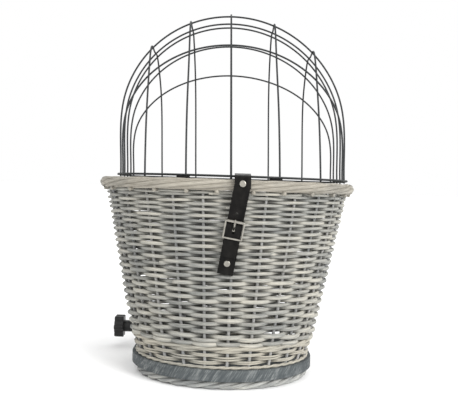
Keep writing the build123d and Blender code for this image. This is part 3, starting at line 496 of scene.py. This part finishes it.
def make_wall():
    """Randing: rods pass before one stake and behind the next, in a long spiral."""
    low, high = WALL[0][2], WALL[1][2]
    ratio = WALL_PITCH_HIGH / WALL_PITCH_LOW
    turns = (high - low) / ((WALL_PITCH_LOW - WALL_PITCH_HIGH) / math.log(WALL_PITCH_LOW / WALL_PITCH_HIGH))
    end = turns + WALL_EXTRA_TURNS[1]
    rods = Rods()
    start = -WALL_EXTRA_TURNS[0]
    while start < end:
        stop = min(start + WALL_ROD_TURNS, end)
        count = max(STEPS - 1, int((stop - start) * STAKE_COUNT * STEPS))
        u = np.linspace(start, stop + WALL_ROD_OVERLAP, count)
        share = np.minimum(u / turns, 1.0)
        rise = (1 - ratio**share) / (1 - ratio)
        z = np.maximum(low + WALL_FIRST_ROW + (high - low - WALL_END_ROOM) * rise, low + WALL_LOWEST_ROW)
        taper = np.linspace(*WALL_TAPER, count)
        radius = WALL_PITCH_LOW * ratio**share * WALL_FILL * taper * (1 + wander(count, 0.035, WAVES))
        swing = weave_swing(u)
        swing = np.sign(swing) * np.abs(swing) ** 0.8
        out = swing * (WALL_SWING + radius * 0.85) + wander(count, 0.22 * MM, WAVES)
        z = z + wander(count, 0.33 * MM, WAVES) + wander(count, 0.45 * MM, 4 * WAVES)
        # painted shade: each rod darkens as it swings behind a stake
        shade = np.clip(0.92 + 0.95 * swing, 0, 1)
        rods.tube(on_wall(u, z, out), radius, 9, squash=0.9, shade=shade)
        start = stop
    piece = rods.make("wall_rods")
    dress(piece, WILLOW_WALL)
    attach(piece, "basket")
    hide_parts("wall_weave")


def make_upsett():
    """Thin rods worked in pairs, before one stake and behind the next, on a thicker first row."""
    low, high = UPSETT[0][2], UPSETT[1][2]
    rods = Rods()
    count = LOOP_POINTS * UPSETT_TURNS
    u = np.linspace(UPSETT_START, UPSETT_START + UPSETT_TURNS, count)
    swing = weave_swing(u)
    # painted shade: the pairs darken as they swing behind a stake
    shade = np.clip(0.85 + 0.9 * swing, 0, 1)
    pitch = (high - low - UPSETT_FIRST_ROW) / UPSETT_ROWS
    for lap in range(UPSETT_ROWS // UPSETT_TURNS):
        for half in (-1, 1):
            radius = UPSETT_RADIUS * (1 + wander(count, 0.05, WAVES))
            row = UPSETT_TURNS * lap + u - UPSETT_DROP
            z = low + UPSETT_FIRST_ROW + pitch * row + half * UPSETT_PAIR_GAP
            z = np.minimum(z, high - 0.4 * MM) + wander(count, 0.28 * MM, 13)
            out = swing * UPSETT_SWING + wander(count, 0.2 * MM, 13)
            rods.tube(on_wall(u, z, out), radius, 8, shade=shade, tone=0.75)
    loop = np.linspace(0, 1, LOOP_POINTS, endpoint=False)
    for strand in range(2):
        phase = 2 * math.pi * (STAKE_COUNT * loop - STAKE_TURN) + math.pi * strand
        out = (1.6 + 1.4 * np.cos(phase)) * MM
        z = low + (1.75 + 0.55 * np.sin(phase)) * MM
        rods.tube(on_wall(loop, z, out), FIRST_ROW_RADIUS, 9, closed=True, tone=0.9)
    piece = rods.make("upsett_rods")
    dress(piece, WILLOW_PALE)
    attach(piece, "basket")
    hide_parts("upsett_weave")


def make_wale():
    """Three-rod wale: each rod passes before two stakes and behind one."""
    middle = (WALE[0][2] + WALE[1][2]) / 2
    rods = Rods()
    u = np.linspace(0, 1, LOOP_POINTS, endpoint=False)
    for strand in range(WALE_RODS):
        phase = 2 * math.pi * (STAKE_COUNT * u - STAKE_TURN - 0.5 - strand) / WALE_RODS
        out = (0.9 + 3.0 * np.cos(phase)) * MM
        z = middle + 1.35 * MM * np.sin(phase)
        rods.tube(on_wall(u, z, out), WALE_RADIUS, 9, closed=True, tone=0.75)
    piece = rods.make("wale_rods")
    dress(piece, WILLOW_PALE)
    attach(piece, "basket")
    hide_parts("wale_band")


# ---------------- borders ----------------
ROPE_POINTS = 1400
CORE_POINTS = 600

RIM_STRANDS, RIM_TURNS = 6, 4
RIM_STRAND_RADIUS = 2.55 * MM
RIM_STRAND_ROOM = 2.75 * MM  # the strand's radius with its swellings
RIM_CORE_RADIUS = 4.3 * MM
CUT_END_RADIUS = 2.5 * MM
CUT_END_POINTS = 6

FOOT_STRANDS, FOOT_TURNS = 3, 11
FOOT_INSET = 5.4 * MM
FOOT_STRAND_RADIUS = 2.6 * MM
FOOT_STRAND_ROOM = 2.8 * MM
FOOT_OUT_REACH = 2.75 * MM


def middle_and_reach(box):
    """The middle and half the height of a border's box."""
    return (box[0][2] + box[1][2]) / 2, (box[1][2] - box[0][2]) / 2


def loop_of(box, inset):
    half_width = (box[1][0] - box[0][0]) / 2 - inset
    return d_curve(half_width, box[0][1] + inset, box[1][1] - inset)


def rope(rods, curve, z, strands, turns, radius, out_reach, z_reach):
    """Strands wound round a loop, each one closing on itself after whole turns."""
    u = np.linspace(0, 1, ROPE_POINTS, endpoint=False)
    plan, normal = on_curve(curve, u), outward(curve, u)
    for strand in range(strands):
        angle = 2 * math.pi * (turns * u + strand / strands)
        out = np.cos(angle) * out_reach
        height = z + np.sin(angle) * z_reach
        points = np.column_stack((plan + normal * out[:, None], height))
        swell = radius * (1 + wander(ROPE_POINTS, 0.035, 12))
        rods.tube(points, swell, 12, closed=True)


def make_border():
    """A rolled border of thick rods in a long lay, with their cut ends tucked under it."""
    z, reach = middle_and_reach(RIM)
    curve = loop_of(RIM, reach)
    strand_reach = reach - RIM_STRAND_ROOM
    rods = Rods()
    rope(rods, curve, z, RIM_STRANDS, RIM_TURNS, RIM_STRAND_RADIUS, strand_reach, strand_reach)
    core = on_curve(curve, np.linspace(0, 1, CORE_POINTS, endpoint=False))
    core = np.column_stack((core, np.full(CORE_POINTS, z)))
    # painted shade: the dark core, with a low tone and shade, darkens the grooves between the strands
    rods.tube(core, RIM_CORE_RADIUS, 10, closed=True, tone=0.1, shade=0.3)
    climb = np.linspace(0, 1, CUT_END_POINTS)
    height = HIGH_Z + (1.0 - 2.2 * climb) * MM
    out = (1.0 + 7.6 * climb) * MM
    # painted shade: the cut ends darken towards the wall, where the border shades them
    shade = np.linspace(0.3, 1.0, CUT_END_POINTS)
    for share in STAKE_SHARES:
        u = share + (0.42 + 0.12 * RNG.random()) / STAKE_COUNT
        points = on_wall(np.full(CUT_END_POINTS, u), height, out)
        rods.tube(points, CUT_END_RADIUS, 12, tone=1.0, shade=shade)
    piece = rods.make("border_rods")
    dress(piece, WILLOW_TOP)
    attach(piece, "basket")
    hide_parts("rim_border")


def make_foot():
    """Thick stake ends laid in a loose twist under the board."""
    z, reach = middle_and_reach(FOOT)
    curve = loop_of(FOOT, FOOT_INSET)
    z_reach = reach - FOOT_STRAND_ROOM
    rods = Rods()
    rope(rods, curve, z, FOOT_STRANDS, FOOT_TURNS, FOOT_STRAND_RADIUS, FOOT_OUT_REACH, z_reach)
    piece = rods.make("foot_rods")
    dress(piece, WILLOW_FOOT)
    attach(piece, "basket")
    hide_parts("foot_border")


make_stakes()
make_wall()
make_upsett()
make_wale()
make_border()
make_foot()


# ---------------- stage, light and camera ----------------
FLOOR_HALF = 150.0
FLOOR_TINTS = (0.945, 0.965)

SUNS = (  # name, place it shines from, strength, spread in degrees
    ("key", (1.5, -1.5, 1.0), 2.8, 30),
    ("fill", (-1.0, -1.6, 1.4), 0.5, 50),
    ("back", (0.3, 1.6, 1.6), 0.5, 50),
)

EYE = Vector((0.0028, -0.976, 0.2444))
HORIZON_SHIFT = -0.0295
ROLL = math.radians(1.9)
LENS = 54.2
SENSOR_WIDTH = 36.0
CLIP_RANGE = (0.01, 400.0)


def make_floor():
    material, nodes, links, shader = new_material("pale_floor")
    place = nodes.new("ShaderNodeTexCoord")
    cloud = noise(nodes, links, place.outputs["Object"], 3.0, 2.0)
    low, high = FLOOR_TINTS
    color = ramp(nodes, links, cloud, ((0.3, grey(low)), (0.7, grey(high))))
    links.new(color, shader.inputs["Base Color"])
    shader.inputs["Roughness"].default_value = 0.9
    shader.inputs["Specular IOR Level"].default_value = 0.1
    mesh = bpy.data.meshes.new("floor")
    corners = [(x * FLOOR_HALF, y * FLOOR_HALF, 0) for x, y in ((-1, -1), (1, -1), (1, 1), (-1, 1))]
    mesh.from_pydata(corners, [], [(0, 1, 2, 3)])
    floor = bpy.data.objects.new("floor", mesh)
    bpy.context.collection.objects.link(floor)
    dress(floor, material)


def sun_light(name, place, strength, spread):
    """A soft sun that shines from the place towards the origin."""
    light = bpy.data.lights.new(name, "SUN")
    light.energy = strength
    light.angle = math.radians(spread)
    holder = bpy.data.objects.new(name, light)
    holder.location = place
    holder.rotation_euler = (-Vector(place)).to_track_quat("-Z", "Y").to_euler()
    bpy.context.collection.objects.link(holder)


def make_camera():
    data = bpy.data.cameras.new("camera")
    data.lens = LENS
    data.sensor_width = SENSOR_WIDTH
    data.clip_start, data.clip_end = CLIP_RANGE
    data.shift_y = HORIZON_SHIFT
    camera = bpy.data.objects.new("camera", data)
    turn = Matrix.Rotation(math.pi / 2, 4, "X") @ Matrix.Rotation(ROLL, 4, "Z")
    camera.matrix_world = Matrix.Translation(EYE) @ turn
    bpy.context.collection.objects.link(camera)
    bpy.context.scene.camera = camera


make_floor()
for sun in SUNS:
    sun_light(*sun)
make_camera()

world = bpy.data.worlds.new("studio")
bpy.context.scene.world = world
world.use_nodes = True
background = world.node_tree.nodes["Background"]
background.inputs["Color"].default_value = (*WHITE, 1)
background.inputs["Strength"].default_value = 1.0
bpy.context.scene.view_settings.view_transform = "Standard"
